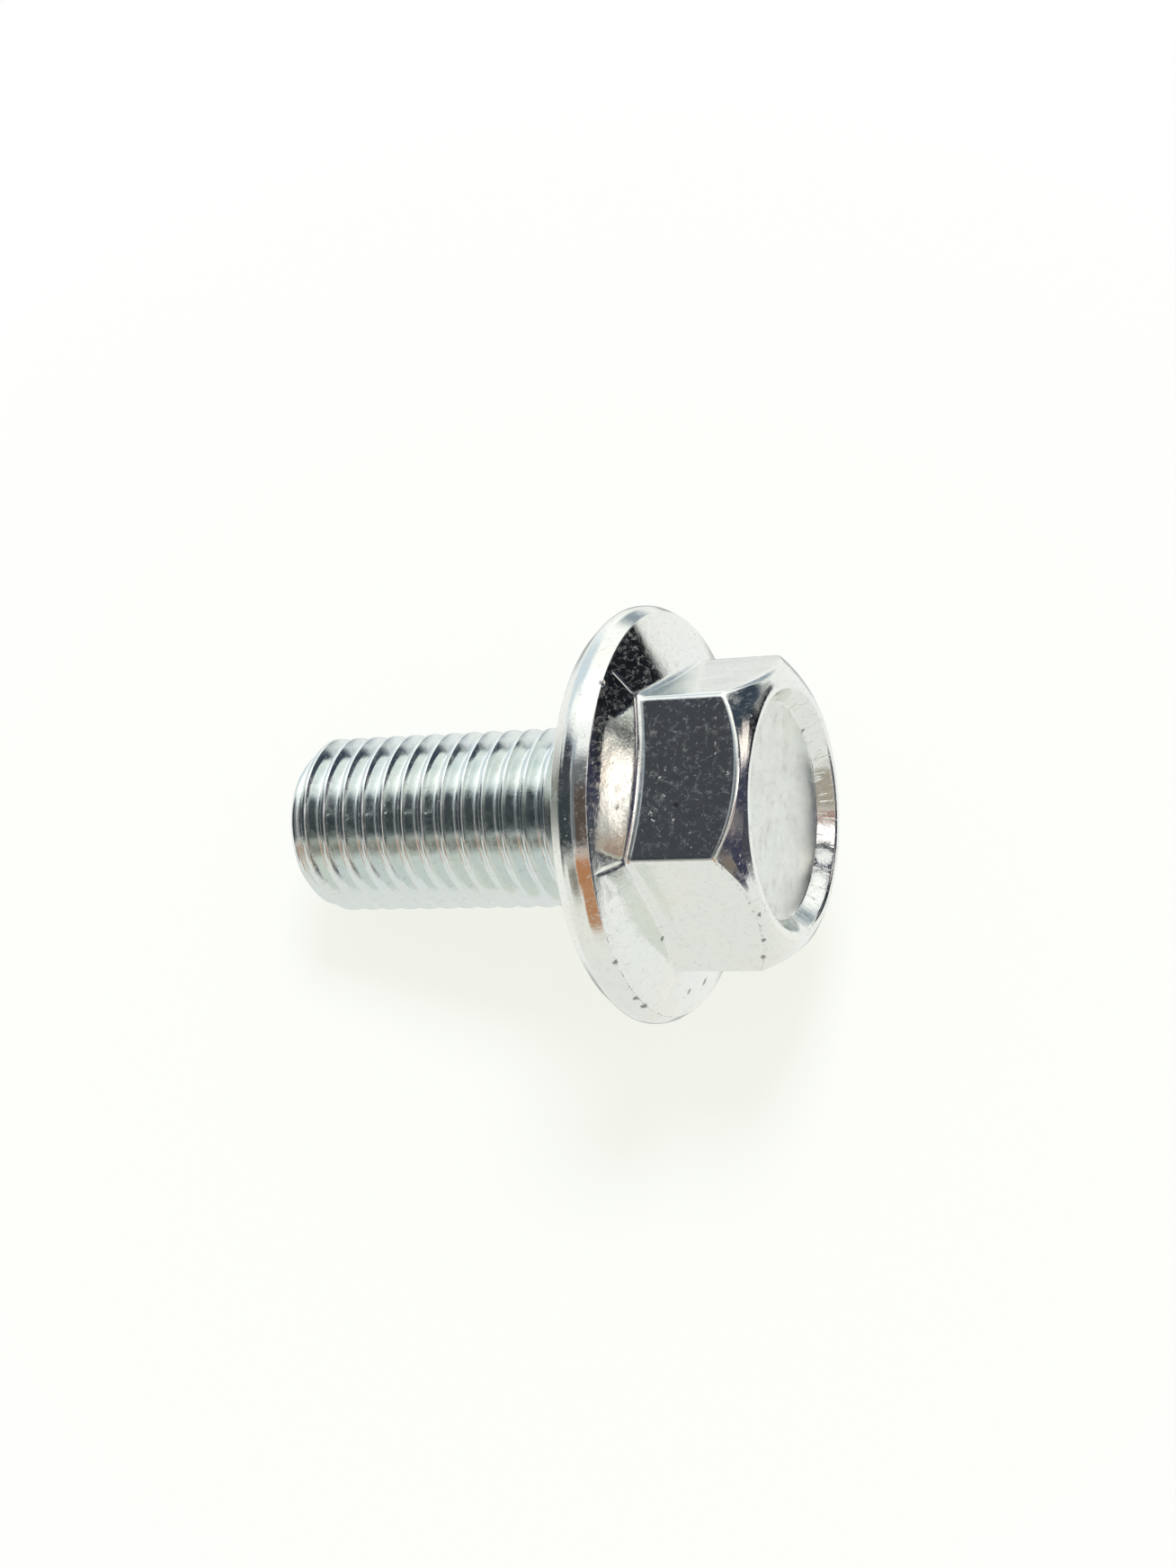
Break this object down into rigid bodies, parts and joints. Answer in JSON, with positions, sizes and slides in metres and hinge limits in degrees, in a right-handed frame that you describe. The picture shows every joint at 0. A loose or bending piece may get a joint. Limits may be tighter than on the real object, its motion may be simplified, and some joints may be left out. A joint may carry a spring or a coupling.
{
  "type": "flange bolt",
  "caption": "Zinc plated hexagon flange bolt with a recessed head and a full-length thread.",
  "frame": {"origin": "centre of the head's end, in the plane under the rim that the bolt stands on", "axes": "+Z along the bolt's axis from the head to the tip of the thread; two corners of the hexagon lie on the X axis"},
  "size_m": [0.0226, 0.0226, 0.0288],
  "materials": {
    "zinc_plated_steel": "bright zinc plate over forged and rolled steel"
  },
  "bodies": {
    "root": {"flange_bolt": "zinc_plated_steel"}
  },
  "joints": []
}
